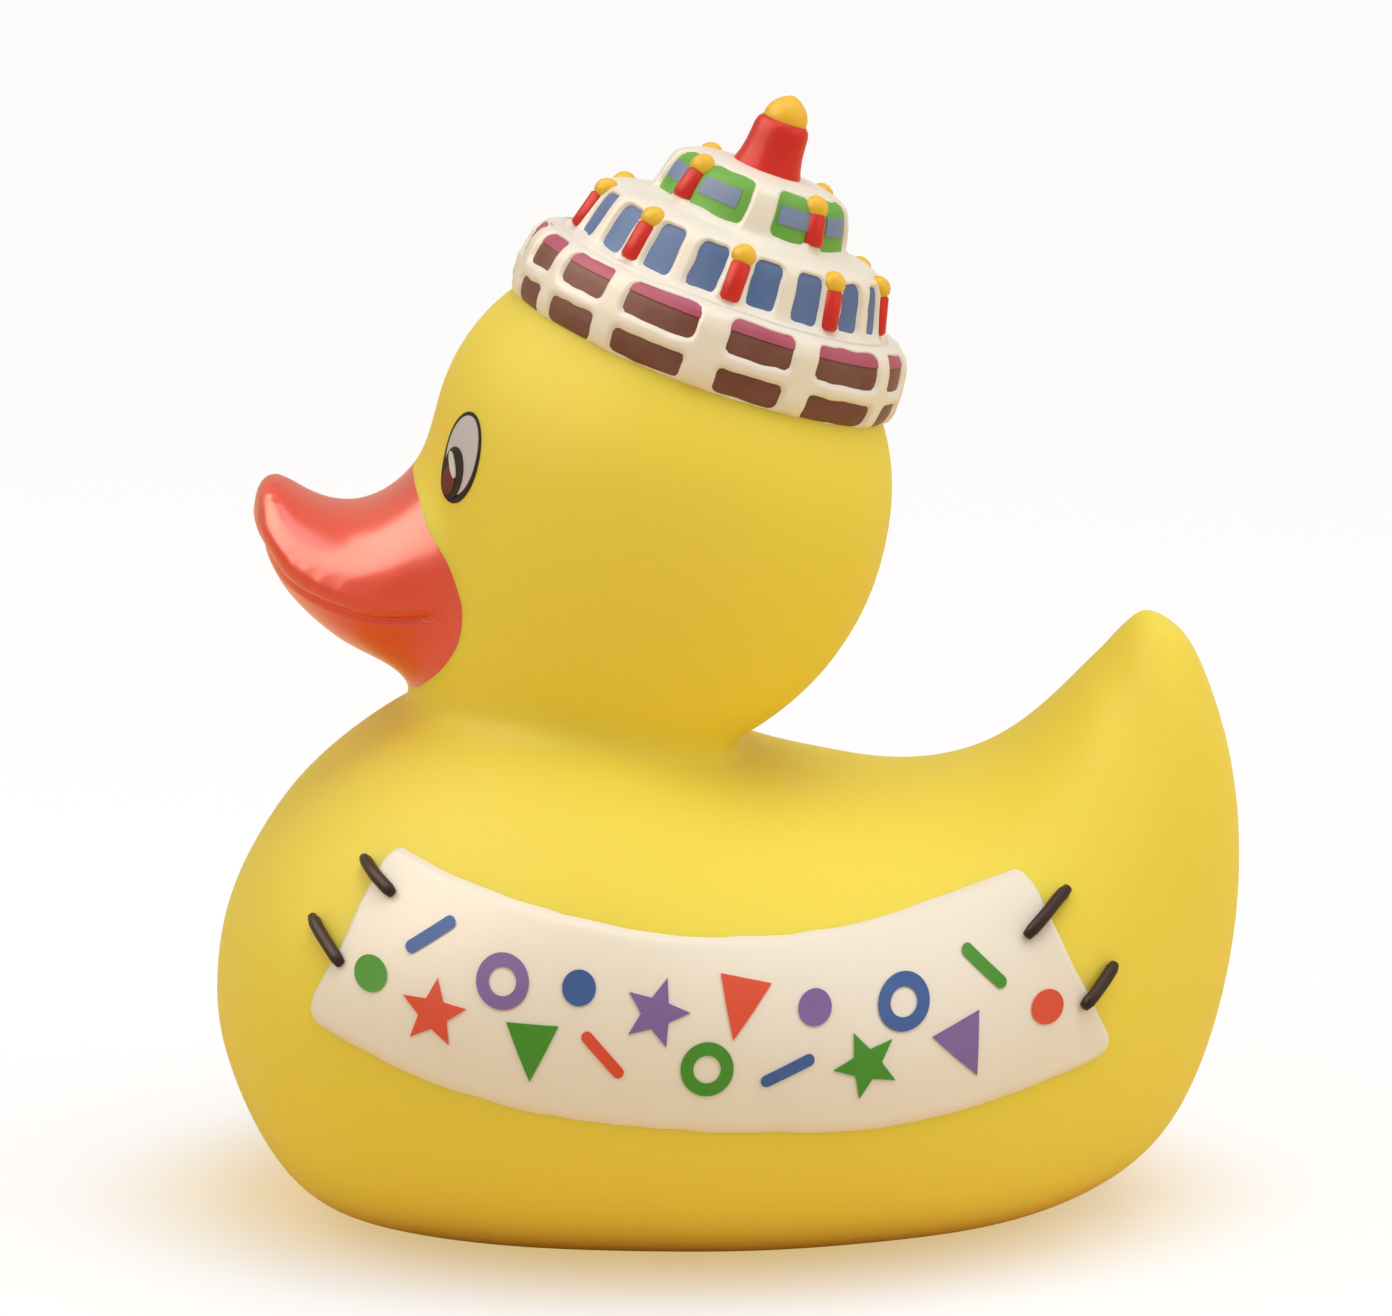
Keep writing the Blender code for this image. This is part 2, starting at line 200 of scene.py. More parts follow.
class DuckCakeSettings(bpy.types.PropertyGroup):
    """Tiered cake hat."""
    relief: length("Relief", "Height of the icing over the panels", 0.38)
    icing: tint("Icing", "White icing", (0.86, 0.81, 0.74))
    brick: tint("Brick", "Brown panels", (0.15, 0.035, 0.018))
    # Painted highlight: lit copy of the brick paint on the bricks' upper edge.
    brick_highlight: tint("Plum", "Upper edge of the panels", (0.40, 0.05, 0.13))
    blue: tint("Blue", "Middle tier panels", (0.065, 0.14, 0.36))
    green: tint("Green", "Top tier panels", (0.10, 0.38, 0.018))
    candle: tint("Candle", "Candle red", (0.68, 0.032, 0.025))
    flame: tint("Flame", "Flame yellow", (0.92, 0.50, 0.04))


class DuckBannerSettings(bpy.types.PropertyGroup):
    """Raised banners, their stitches and party shapes."""
    rise: length("Rise", "How far the banner stands proud", 0.9)
    cloth: tint("Banner", "Banner white", (0.86, 0.79, 0.71))
    thread: tint("Thread", "Stitch colour", (0.028, 0.016, 0.014))
    blue: tint("Blue", "Shape colour", (0.035, 0.10, 0.33))
    green: tint("Green", "Shape colour", (0.05, 0.27, 0.015))
    red: tint("Red", "Shape colour", (0.70, 0.07, 0.025))
    purple: tint("Purple", "Shape colour", (0.20, 0.12, 0.36))


class DuckStageSettings(bpy.types.PropertyGroup):
    """Floor, lights and camera."""
    lens: bpy.props.FloatProperty(name="Lens", description="Focal length in mm", default=150.0)
    elevation: bpy.props.FloatProperty(name="Elevation", description="Camera height above level",
                                       subtype="ANGLE", default=math.radians(12.0))
    span: length("Span", "Width seen at the duck", 122.7)
    air: tint("Air", "Colour of the light from all round", (1.0, 0.92, 0.76))
    air_strength: bpy.props.FloatProperty(name="Air strength", description="Light from all round", default=0.50)
    gloss: tint("Gloss", "Tint of the soft box seen in the gloss", (1.0, 0.84, 0.66))
    paper: tint("Paper", "Table paper", (0.30, 0.30, 0.30))
    bounce: tint("Bounce", "Light thrown up from the table", (0.86, 0.68, 0.44))
    # Painted light: a warm glow laid on the table round the duck, standing in for the yellow light it throws
    # there; it also lightens the duck's shadow.
    pool: tint("Pool", "Glow close to the duck", (0.64, 0.46, 0.19))
    far_glow: tint("Far glow", "Glow away from the duck", (0.70, 0.70, 0.715))
    pool_inner: length("Pool inner", "Where the warm glow starts to fade", 16.0)
    pool_outer: length("Pool outer", "Where the warm glow has faded", 40.0)


# ---------------------------------------------------------------- shaping helpers

def spline(stations, count):
    """Rows read from a natural cubic spline through the stations, evenly along its length."""
    rows = np.array(stations, dtype=float)
    gaps = np.linalg.norm(np.diff(rows[:, :5], axis=0), axis=1)
    knots = np.concatenate(([0.0], np.cumsum(gaps)))
    n = len(knots)
    system = np.eye(n)
    right = np.zeros_like(rows)
    for i in range(1, n - 1):
        before, after = gaps[i - 1], gaps[i]
        system[i, i - 1:i + 2] = before, 2.0 * (before + after), after
        right[i] = 6.0 * ((rows[i + 1] - rows[i]) / after - (rows[i] - rows[i - 1]) / before)
    bend = np.linalg.solve(system, right)
    out = []
    for s in np.linspace(0.0, knots[-1], count):
        i = min(int(np.searchsorted(knots, s, side="right")) - 1, n - 2)
        gap = gaps[i]
        a, b = (knots[i + 1] - s) / gap, (s - knots[i]) / gap
        out.append(a * rows[i] + b * rows[i + 1]
                   + ((a ** 3 - a) * bend[i] + (b ** 3 - b) * bend[i + 1]) * gap * gap / 6.0)
    return out


def ring_points(row, sides):
    """Points round one ring, from its top or front round through +Y."""
    top = Vector((row[0], 0.0, row[1]))
    low = Vector((row[2], 0.0, row[3]))
    share = row[5] if len(row) > 5 else 0.5
    powers = (row[6], row[7]) if len(row) > 5 else (2.0, 2.0)
    middle = low.lerp(top, share)
    width = max(row[4], 0.1)
    points = []
    for i in range(sides):
        angle = 2.0 * math.pi * i / sides
        c, s = math.cos(angle), math.sin(angle)
        power = powers[0] if c >= 0.0 else powers[1]
        point = middle + ((top if c >= 0.0 else low) - middle) * abs(c) ** (2.0 / power)
        out = math.copysign(abs(s) ** (2.0 / power), s) if abs(s) > 1e-9 else 0.0
        points.append(Vector((point.x, width * out, point.z)) * MM)
    return points


def extrude_ring(bm, ring, points):
    """Extrude a closed loop of vertices and place the new loop on the given points."""
    size = len(ring)
    edges = [bm.edges.get((ring[i], ring[(i + 1) % size])) for i in range(size)]
    made = bmesh.ops.extrude_edge_only(bm, edges=edges)["geom"]
    new = {item for item in made if isinstance(item, bmesh.types.BMVert)}
    result = []
    for vert, point in zip(ring, points):
        twin = next(e.other_vert(vert) for e in vert.link_edges if e.other_vert(vert) in new)
        twin.co = point
        result.append(twin)
    return result


def loft(bm, rings):
    """Closed skin over a row of rings, with a fan at each end."""
    sides = len(rings[0])
    first = bmesh.ops.create_circle(bm, segments=sides, radius=MM)["verts"]
    for vert, point in zip(first, rings[0]):
        vert.co = point
    ring = list(first)
    for points in rings[1:]:
        ring = extrude_ring(bm, ring, points)
    for loop in (list(first), ring):
        centre = sum((v.co for v in loop), Vector()) / sides
        fan = extrude_ring(bm, loop, [centre] * sides)
        bmesh.ops.pointmerge(bm, verts=fan, merge_co=centre)
    bmesh.ops.recalc_face_normals(bm, faces=bm.faces)


def spin_profile(bm, profile, steps):
    """Turn a profile that starts and ends on the axis about Z."""
    verts = [bm.verts.new(Vector((r, 0.0, z)) * MM) for r, z in profile]
    edges = [bm.edges.new(pair) for pair in zip(verts, verts[1:])]
    bmesh.ops.spin(bm, geom=verts + edges, cent=(0, 0, 0), axis=(0, 0, 1),
                   angle=2.0 * math.pi, steps=steps, use_merge=True)
    bmesh.ops.remove_doubles(bm, verts=bm.verts, dist=1e-7)
    bmesh.ops.recalc_face_normals(bm, faces=bm.faces)


def new_piece(name, bm, material=None, sharp=None):
    """Make the mesh an object at the origin."""
    old = bpy.data.objects.get(name)
    if old:
        bpy.data.objects.remove(old)
    mesh = bpy.data.meshes.new(name)
    bm.to_mesh(mesh)
    bm.free()
    obj = bpy.data.objects.new(name, mesh)
    bpy.context.scene.collection.objects.link(obj)
    if material:
        mesh.materials.append(material)
    mesh.shade_smooth()
    if sharp:
        mesh.set_sharp_from_angle(angle=math.radians(sharp))
    return obj


def add_mesh(bm, part):
    """Move a part's mesh into bm."""
    mesh = bpy.data.meshes.new("part")
    part.to_mesh(mesh)
    part.free()
    bm.from_mesh(mesh)
    bpy.data.meshes.remove(mesh)


def thicken(bm, back):
    """Close a sheet into a slab, with its copy moved as back says."""
    made = bmesh.ops.extrude_face_region(bm, geom=bm.faces[:])["geom"]
    for item in made:
        if isinstance(item, bmesh.types.BMVert):
            item.co = back(item.co)
    bmesh.ops.recalc_face_normals(bm, faces=bm.faces)


def even_out(bm, verts, rounds):
    """Smooth the vertices a number of times."""
    for _ in range(rounds):
        bmesh.ops.smooth_vert(bm, verts=verts, factor=0.5, use_axis_x=True, use_axis_y=True, use_axis_z=True)


def round_loop(centre, turn, radius, sides):
    """Points of a circle in mm round a centre, in the plane that turn sets."""
    points = []
    for i in range(sides):
        angle = 2.0 * math.pi * i / sides
        points.append(centre + turn @ (Vector((math.cos(angle), math.sin(angle), 0.0)) * radius * MM))
    return points


def hand_over(obj):
    """Ride on the root, and hide the duck's CAD part."""
    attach(obj, ROOT)
    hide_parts("duck")


def baked(obj):
    """The object's mesh with its modifiers applied."""
    mesh = bpy.data.meshes.new_from_object(obj.evaluated_get(bpy.context.evaluated_depsgraph_get()))
    obj.modifiers.clear()
    obj.data = mesh
    return obj


def boolean(obj, other, operation):
    """Exact Boolean, applied."""
    modifier = obj.modifiers.new("Boolean", "BOOLEAN")
    modifier.operation = operation
    modifier.solver = "EXACT"
    modifier.object = other
    return baked(obj)


def surface_of(obj):
    """Ray and nearest-point tree of an object's mesh."""
    bm = bmesh.new()
    bm.from_mesh(obj.data)
    tree = BVHTree.FromBMesh(bm)
    bm.free()
    return tree


def curve_at(points, t):
    """Point on the smooth curve through the given points, t from 0 to 1."""
    place = t * (len(points) - 1)
    i = min(int(place), len(points) - 2)
    p = [Vector(points[min(max(j, 0), len(points) - 1)]) for j in range(i - 1, i + 3)]
    f = place - i
    return 0.5 * ((2.0 * p[1]) + (p[2] - p[0]) * f
                  + (2.0 * p[0] - 5.0 * p[1] + 4.0 * p[2] - p[3]) * f * f
                  + (3.0 * p[1] - 3.0 * p[2] + p[3] - p[0]) * f * f * f)


def smooth_step(value, low, high):
    """0 below low, 1 above high, smooth between."""
    t = min(max((value - low) / (high - low), 0.0), 1.0)
    return t * t * (3.0 - 2.0 * t)


def flank(tree, x, z, side):
    """Point and normal where a line across the duck meets its flank."""
    hit = tree.ray_cast(Vector((x * MM, side * 0.1, z * MM)), Vector((0.0, -side, 0.0)))
    if hit[0] is None:
        raise RuntimeError(f"nothing at x {x:.1f}, z {z:.1f}")
    return hit[0], hit[1]


def hat_frame():
    """Matrix from the hat's own axes to the world."""
    return (Matrix.Translation(Vector((HAT_X, 0.0, HAT_Z)) * MM)
            @ Matrix.Rotation(HAT_TILT, 4, "Y"))


# ---------------------------------------------------------------- materials

def fill(node, values):
    """Set a node's inputs by name."""
    for name, value in values.items():
        node.inputs[name].default_value = value


def surface_group():
    """Node group: slow colour drift, fine grain and roughness drift of a moulded, painted surface."""
    group = bpy.data.node_groups.get("moulded_surface")
    if group:
        return group
    group = bpy.data.node_groups.new("moulded_surface", "ShaderNodeTree")
    numbers = ("Drift Scale", "Drift", "Grain Scale", "Rough Low", "Rough High")
    for way, kind, names in (("INPUT", "Color", ("Color", "Second Color")), ("INPUT", "Float", numbers),
                             ("OUTPUT", "Color", ("Color",)), ("OUTPUT", "Float", ("Roughness", "Height"))):
        for name in names:
            group.interface.new_socket(name=name, in_out=way, socket_type="NodeSocket" + kind)
    nodes, link = group.nodes, group.links.new
    source, sink = nodes.new("NodeGroupInput"), nodes.new("NodeGroupOutput")
    where = nodes.new("ShaderNodeTexCoord")
    drift = nodes.new("ShaderNodeTexNoise")
    drift.inputs["Detail"].default_value = 3.0
    grain = nodes.new("ShaderNodeTexNoise")
    grain.inputs["Detail"].default_value = 2.0
    amount = nodes.new("ShaderNodeMath")
    amount.operation = "MULTIPLY"
    mix = nodes.new("ShaderNodeMix")
    mix.data_type = "RGBA"
    rough = nodes.new("ShaderNodeMapRange")
    link(where.outputs["Object"], drift.inputs["Vector"])
    link(where.outputs["Object"], grain.inputs["Vector"])
    link(source.outputs["Drift Scale"], drift.inputs["Scale"])
    link(source.outputs["Grain Scale"], grain.inputs["Scale"])
    link(drift.outputs["Fac"], amount.inputs[0])
    link(source.outputs["Drift"], amount.inputs[1])
    link(amount.outputs[0], mix.inputs["Factor"])
    link(source.outputs["Color"], mix.inputs["A"])
    link(source.outputs["Second Color"], mix.inputs["B"])
    link(mix.outputs["Result"], sink.inputs["Color"])
    link(drift.outputs["Fac"], rough.inputs["Value"])
    link(source.outputs["Rough Low"], rough.inputs["To Min"])
    link(source.outputs["Rough High"], rough.inputs["To Max"])
    link(rough.outputs["Result"], sink.inputs["Roughness"])
    link(grain.outputs["Fac"], sink.inputs["Height"])
    return group


def painted(name, colour, second, rough=(0.38, 0.5), drift=0.5, scale=70.0, grain=2200.0, bump=0.05,
            warm=None, glow=0.0, coat=0.0, specular=0.2):
    """Painted or bare vinyl with drifting colour, grain and gloss."""
    material = bpy.data.materials.get(name)
    if material:
        return material
    material = bpy.data.materials.new(name)
    material.use_nodes = True
    nodes, link = material.node_tree.nodes, material.node_tree.links.new
    shader = nodes["Principled BSDF"]
    group = nodes.new("ShaderNodeGroup")
    group.node_tree = surface_group()
    fill(group, {"Color": (*colour, 1.0), "Second Color": (*second, 1.0), "Drift Scale": scale, "Drift": drift,
                 "Grain Scale": grain, "Rough Low": rough[0], "Rough High": rough[1]})
    tone = group.outputs["Color"]
    # A given warm colour is mixed in by the piece's shade attribute: painted shade in the folds and at the
    # foot.
    if warm:
        share = nodes.new("ShaderNodeAttribute")
        share.attribute_name = "painted_shade"
        mix = nodes.new("ShaderNodeMix")
        mix.data_type = "RGBA"
        mix.inputs["B"].default_value = (*warm, 1.0)
        link(share.outputs["Fac"], mix.inputs["Factor"])
        link(tone, mix.inputs["A"])
        tone = mix.outputs["Result"]
    link(tone, shader.inputs["Base Color"])
    link(group.outputs["Roughness"], shader.inputs["Roughness"])
    bumps = nodes.new("ShaderNodeBump")
    fill(bumps, {"Strength": bump, "Distance": 0.1 * MM})
    link(group.outputs["Height"], bumps.inputs["Height"])
    link(bumps.outputs["Normal"], shader.inputs["Normal"])
    fill(shader, {"Metallic": 0.0, "Specular IOR Level": specular, "Coat Weight": coat, "Coat Roughness": 0.28})
    if glow:
        fill(shader, {"Subsurface Weight": glow, "Subsurface Radius": (1.0, 0.45, 0.08),
                      "Subsurface Scale": 3.0 * MM})
    return material


def lighter(colour, by):
    """The colour moved towards white, or towards black for a negative share."""
    end = 1.0 if by > 0.0 else 0.0
    return tuple(c + (end - c) * abs(by) for c in colour)


# ---------------------------------------------------------------- skin and bill

# Shapes of the skin, each with its number of rings and sides.
SKIN_PARTS = ((BODY, 110, 112), (HEAD, 70, 96), (BILL, 56, 64))
# How creases are softened: reach in mm, rounds, and 0 for the neck or 1 for the foot of the bill.
CREASES = ((1.6, 14, 0), (3.0, 8, 0), (2.0, 40, 1), (3.4, 30, 1), (5.0, 10, 1))
FLANK_REACH, FLANK_ROUNDS = 4.6, 70
FAR = 99.0
# Mouth, in mm: half width of its groove, middle, half width and height of the lip above it, and
# how far the bill below steps back.
GROOVE_WIDTH, LIP_MIDDLE, LIP_WIDTH, LIP_RISE, LOWER_STEP = 0.38, 1.35, 0.8, 0.22, 0.25


def skin_mesh(settings):
    """Body, head and bill as one even skin with soft creases where they meet."""
    parts = []
    for stations, rings, sides in SKIN_PARTS:
        bm = bmesh.new()
        loft(bm, [ring_points(row, sides) for row in spline(stations, rings)])
        parts.append(bm)
    trees = [BVHTree.FromBMesh(bm) for bm in parts]
    whole = bmesh.new()
    for bm in parts:
        add_mesh(whole, bm)
    skin = new_piece("duck_skin", whole)
    remesh = skin.modifiers.new("Remesh", "REMESH")
    remesh.mode = "VOXEL"
    remesh.voxel_size = settings.voxel
    baked(skin)

    bm = bmesh.new()
    bm.from_mesh(skin.data)
    even_out(bm, bm.verts, 1)
    near = {}
    for vert in bm.verts:
        gaps = [tree.find_nearest(vert.co)[3] / MM for tree in trees]
        neck = max(gaps[0], gaps[1])
        brow = max(gaps[1], gaps[2]) if vert.co.x < -24.0 * MM else FAR
        near[vert] = (neck, brow)
    for reach, rounds, which in CREASES:
        even_out(bm, [v for v in bm.verts if near[v][which] < reach], rounds)
    even_out(bm, [v for v in bm.verts if near[v][0] < FLANK_REACH and abs(v.co.y) > 8.0 * MM], FLANK_ROUNDS)
    even_out(bm, bm.verts, 4)
    cut = bmesh.ops.bisect_plane(bm, geom=bm.verts[:] + bm.edges[:] + bm.faces[:], dist=1e-7,
                                 plane_co=(0, 0, 0), plane_no=(0, 0, -1), clear_outer=True)
    rim = [e for e in cut["geom_cut"] if isinstance(e, bmesh.types.BMEdge)]
    bmesh.ops.edgeloop_fill(bm, edges=rim)
    # Painted shade: how much warm, darker colour each vertex takes, strongest in the neck fold and at the foot,
    # where shade falls and warm light bounces up from the table.
    layer = bm.verts.layers.float.new("painted_shade")
    for vert in bm.verts:
        neck = near.get(vert, (FAR, FAR))[0]
        fold = 0.6 * (1.0 - smooth_step(neck, 0.5, 6.0))
        foot = 0.75 * (1.0 - smooth_step(vert.co.z / MM, 0.0, 8.5)) ** 1.5
        vert[layer] = max(fold, foot)
    bmesh.ops.recalc_face_normals(bm, faces=bm.faces)
    return new_piece("duck_skin", bm)


def vent_cutter():
    """Small round hole in the flat underside."""
    bm = bmesh.new()
    bmesh.ops.create_cone(bm, cap_ends=True, segments=48, radius1=VENT_RADIUS * MM, radius2=VENT_RADIUS * MM,
                          depth=VENT_DEPTH * MM)
    bmesh.ops.translate(bm, verts=bm.verts, vec=(VENT_X * MM, 0.0, 0.0))
    return new_piece("vent_cutter", bm)


def bill_region():
    """Prism across the duck that holds everything in front of the bill's paint edge."""
    bm = bmesh.new()
    edge = [curve_at(BILL_EDGE, i / 60) for i in range(61)]
    outline = [(p[0], p[1]) for p in edge] + [(-60.0, 46.9), (-60.0, 70.0)]
    bmesh.ops.create_circle(bm, segments=len(outline), radius=MM, cap_ends=True)
    bm.verts.ensure_lookup_table()
    for vert, (x, z) in zip(bm.verts, outline):
        vert.co = Vector((x, -30.0, z)) * MM
    thicken(bm, lambda co: Vector((co.x, -co.y, co.z)))
    return new_piece("bill_region", bm)


def mouth_distance(samples, x, z):
    """Signed distance to the mouth line, positive above it."""
    best, sign = 1e9, 1.0
    for a, b in zip(samples, samples[1:]):
        along = b - a
        t = min(max((Vector((x, z)) - a).dot(along) / along.length_squared, 0.0), 1.0)
        gap = Vector((x, z)) - (a + along * t)
        if gap.length < best:
            best = gap.length
            sign = 1.0 if gap.y > 0.0 else -1.0
    return best * sign


class DUCK_OT_skin(bpy.types.Operator):
    """Build the moulded skin and the painted bill"""
    bl_idname = "duck.skin"
    bl_label = "Skin and bill"

    def execute(self, context):
        settings = context.scene.duck_skin_settings
        skin = skin_mesh(settings)
        region = bill_region()
        bill = skin.copy()
        bill.data = skin.data.copy()
        bill.name = "bill"
        context.scene.collection.objects.link(bill)
        boolean(bill, region, "INTERSECT")
        boolean(skin, region, "DIFFERENCE")
        vent = vent_cutter()
        boolean(skin, vent, "DIFFERENCE")
        for helper in (region, vent):
            bpy.data.objects.remove(helper)

        divide = bill.modifiers.new("Divide", "SUBSURF")
        divide.levels = divide.render_levels = 1
        bm = bmesh.new()
        bm.from_mesh(bill.data)
        crease = bm.edges.layers.float.get("crease_edge") or bm.edges.layers.float.new("crease_edge")
        for edge in bm.edges:
            if len(edge.link_faces) == 2 and edge.calc_face_angle(0.0) > math.radians(50.0):
                edge[crease] = 1.0
        bm.to_mesh(bill.data)
        bm.free()
        baked(bill)
        bm = bmesh.new()
        bm.from_mesh(bill.data)
        bm.normal_update()
        samples = [curve_at(MOUTH, i / 60) for i in range(61)]
        moves = []
        for vert in bm.verts:
            x, z = vert.co.x / MM, vert.co.z / MM
            far = mouth_distance(samples, x, z)
            fade = 1.0 - smooth_step(x, -27.0, -23.2)
            tip = smooth_step(x, -42.0, -40.6)
            groove = -settings.mouth_depth * math.exp(-(far / GROOVE_WIDTH) ** 2)
            lip = LIP_RISE * MM * math.exp(-((far - LIP_MIDDLE) / LIP_WIDTH) ** 2)
            lower = -LOWER_STEP * MM * (smooth_step(-far, 0.0, 1.0) - smooth_step(-far, 1.0, 4.5))
            moves.append((vert, vert.normal * ((groove + lip + lower) * fade * (0.5 + 0.5 * tip))))
        for vert, move in moves:
            vert.co += move
        bm.to_mesh(bill.data)
        bm.free()
        for obj, sharp in ((skin, 42.0), (bill, 55.0)):
            obj.data.materials.clear()
            obj.data.shade_smooth()
            obj.data.set_sharp_from_angle(angle=math.radians(sharp))
        yellow = tuple(settings.yellow)
        skin.data.materials.append(painted("yellow_vinyl_skin", yellow, lighter(yellow, -0.07),
                                           rough=(0.42, 0.50), drift=0.6, scale=45.0, grain=1800.0,
                                           bump=0.03, warm=tuple(settings.shade_tint), glow=0.35, specular=0.12))
        red = tuple(settings.bill_red)
        bill.data.materials.append(painted("bill_paint", red, lighter(red, -0.14), rough=(0.26, 0.32),
                                           drift=0.5, scale=90.0, bump=0.03, glow=0.1, coat=0.5, specular=0.6))
        hand_over(skin)
        hand_over(bill)
        return {"FINISHED"}


# ---------------------------------------------------------------- eyes

class DUCK_OT_eyes(bpy.types.Operator):
    """Print the eyes on the head"""
    bl_idname = "duck.eyes"
    bl_label = "Eyes"

    def execute(self, context):
        settings = context.scene.duck_eye_settings
        skin = surface_of(bpy.data.objects["duck_skin"])
        half_w, half_h = settings.width, settings.height
        ink = painted("eye_ink", (0.020, 0.012, 0.011), (0.035, 0.020, 0.016), rough=(0.30, 0.38), bump=0.02)
        white = painted("eye_white", (0.58, 0.57, 0.63), (0.50, 0.49, 0.54), rough=(0.32, 0.40), bump=0.02)
        iris = painted("eye_maroon", (0.16, 0.035, 0.022), (0.07, 0.016, 0.012), rough=(0.28, 0.36), bump=0.02)
        glint = painted("eye_glint", (0.70, 0.70, 0.71), (0.62, 0.62, 0.64), rough=(0.3, 0.36), bump=0.02)
        # Each layer: name, material, centre and half size as shares of the eye, turn, height over the skin.
        layers = (
            ("outline", ink, 0.0, 0.0, 1.0, 1.0, 0.0, 0.06),
            ("white", white, 0.03, 0.05, 0.84, 0.865, 0.0, 0.14),
            ("pupil", ink, -0.17, -0.37, 0.60, 0.56, 6.0, 0.22),
            ("maroon", iris, -0.26, -0.55, 0.36, 0.32, 0.0, 0.28),
            ("glint", glint, -0.20, -0.20, 0.14, 0.32, 38.0, 0.34),
        )
        for side in (-1.0, 1.0):
            centre, normal = flank(skin, EYE_X, EYE_Z, side)
            up = (EYE_UP - normal * EYE_UP.dot(normal)).normalized()
            front = up.cross(normal) if side > 0 else normal.cross(up)
            label = "left" if side < 0 else "right"
            for name, material, cx, cy, sx, sy, turn, height in layers:
                bm = bmesh.new()
                rounds = []
                for ring in range(EYE_RINGS, 0, -1):
                    angles = [2.0 * math.pi * k / EYE_SIDES for k in range(EYE_SIDES)]
                    size = ring / EYE_RINGS
                    rounds.append([bm.verts.new((math.cos(a) * size, math.sin(a) * size, 0.0)) for a in angles])
                for outer, inner in zip(rounds, rounds[1:]):
                    for k in range(EYE_SIDES):
                        bm.faces.new((outer[k - 1], outer[k], inner[k], inner[k - 1]))
                bm.faces.new(rounds[-1])
                top = {}
                tilt = Matrix.Rotation(math.radians(turn), 2)
                for vert in bm.verts:
                    flat = tilt @ Vector((vert.co.x * sx * half_w / half_h, vert.co.y * sy))
                    a, b = cx * half_w + flat[0] * half_h, cy * half_h + flat[1] * half_h
                    start = centre - front * a + up * b + normal * 0.01
                    hit = skin.ray_cast(start, -normal)
                    top[vert] = (hit[0], hit[1])
                for vert, (point, out) in top.items():
                    vert.co = point + out * height * MM
                thicken(bm, lambda co: co - normal * (height + EYE_SINK) * MM)
                hand_over(new_piece(f"eye_{label}_{name}", bm, material, 40.0))
        return {"FINISHED"}


# ---------------------------------------------------------------- cake hat

def face_angle(point):
    """Degrees round the hat from the duck's face, over its left side."""
    return math.degrees(math.atan2(-point.y, -point.x)) % 360.0


def panel_depth(angle, height, radius, panels, row, wobble):
    """How far inside the nearest panel a point lies, in mm, negative outside."""
    best = -9.0
    for middle, width in panels:
        across = width / 2.0 - abs((angle - middle + 180.0) % 360.0 - 180.0)
        across = math.radians(across) * radius
        upright = min(height - row[0], row[1] - height)
        dx, dz = PANEL_CORNER - across, PANEL_CORNER - upright
        if dx > 0.0 and dz > 0.0:
            inside = PANEL_CORNER - math.hypot(dx, dz)
        else:
            inside = min(across, upright)
        best = max(best, inside)
    return best + wobble


ALL_PANELS = (
    (BRICKS, BRICK_ROWS[0]), (BRICKS, BRICK_ROWS[1]), (BLUES, BLUE_ROW), (GREENS, GREEN_ROW),
)


def dense_profile(step):
    """Hat profile with rounded corners and even steps, as radius and height."""
    corners = [Vector(p) for p in HAT]
    line = [corners[0]]
    for before, here, after in zip(corners, corners[1:], corners[2:]):
        line += [before.lerp(here, 0.72), here.lerp(before, 0.12).lerp(here.lerp(after, 0.12), 0.5),
                 here.lerp(after, 0.28)]
    line.append(corners[-1])
    out = [line[0]]
    for a, b in zip(line, line[1:]):
        count = max(1, int(round((b - a).length / step)))
        out += [a.lerp(b, (i + 1) / count) for i in range(count)]
    return out


def side_radius(height):
    """Radius of the tier's side at a height."""
    sides = ((0.8, 17.5, 4.6, 17.1), (7.3, 13.7, 10.4, 12.8), (12.4, 8.5, 15.8, 7.5))
    low = sides[0] if height < 6.3 else sides[1] if height < 11.9 else sides[2]
    return low[1] + (low[3] - low[1]) * (height - low[0]) / (low[2] - low[0])


def profile_radius(profile, height):
    """Outermost radius of the profile at a height."""
    best = 0.0
    for a, b in zip(profile, profile[1:]):
        low, high = min(a[1], b[1]), max(a[1], b[1])
        if low <= height <= high and high > low:
            best = max(best, a[0] + (b[0] - a[0]) * (height - a[1]) / (b[1] - a[1]))
    return best


def panel_patch(bm, profile, middle, width, row, lift):
    """Curved coloured panel that lies on a tier's side, as a thin closed slab."""
    steps = max(4, int(width / 1.5))
    part = bmesh.new()
    bmesh.ops.create_grid(part, x_segments=steps, y_segments=10, size=0.5)
    for vert in part.verts:
        angle = math.radians(middle + vert.co.x * (width + 1.6))
        height = row[0] - 0.12 + (vert.co.y + 0.5) * (row[1] - row[0] + 0.24)
        radius = profile_radius(profile, height) + lift
        vert.co = Vector((-radius * math.cos(angle), -radius * math.sin(angle), height)) * MM
    thicken(part, lambda co: co - Vector((co.x, co.y, 0.0)).normalized() * PANEL_THICK * MM)
    add_mesh(bm, part)


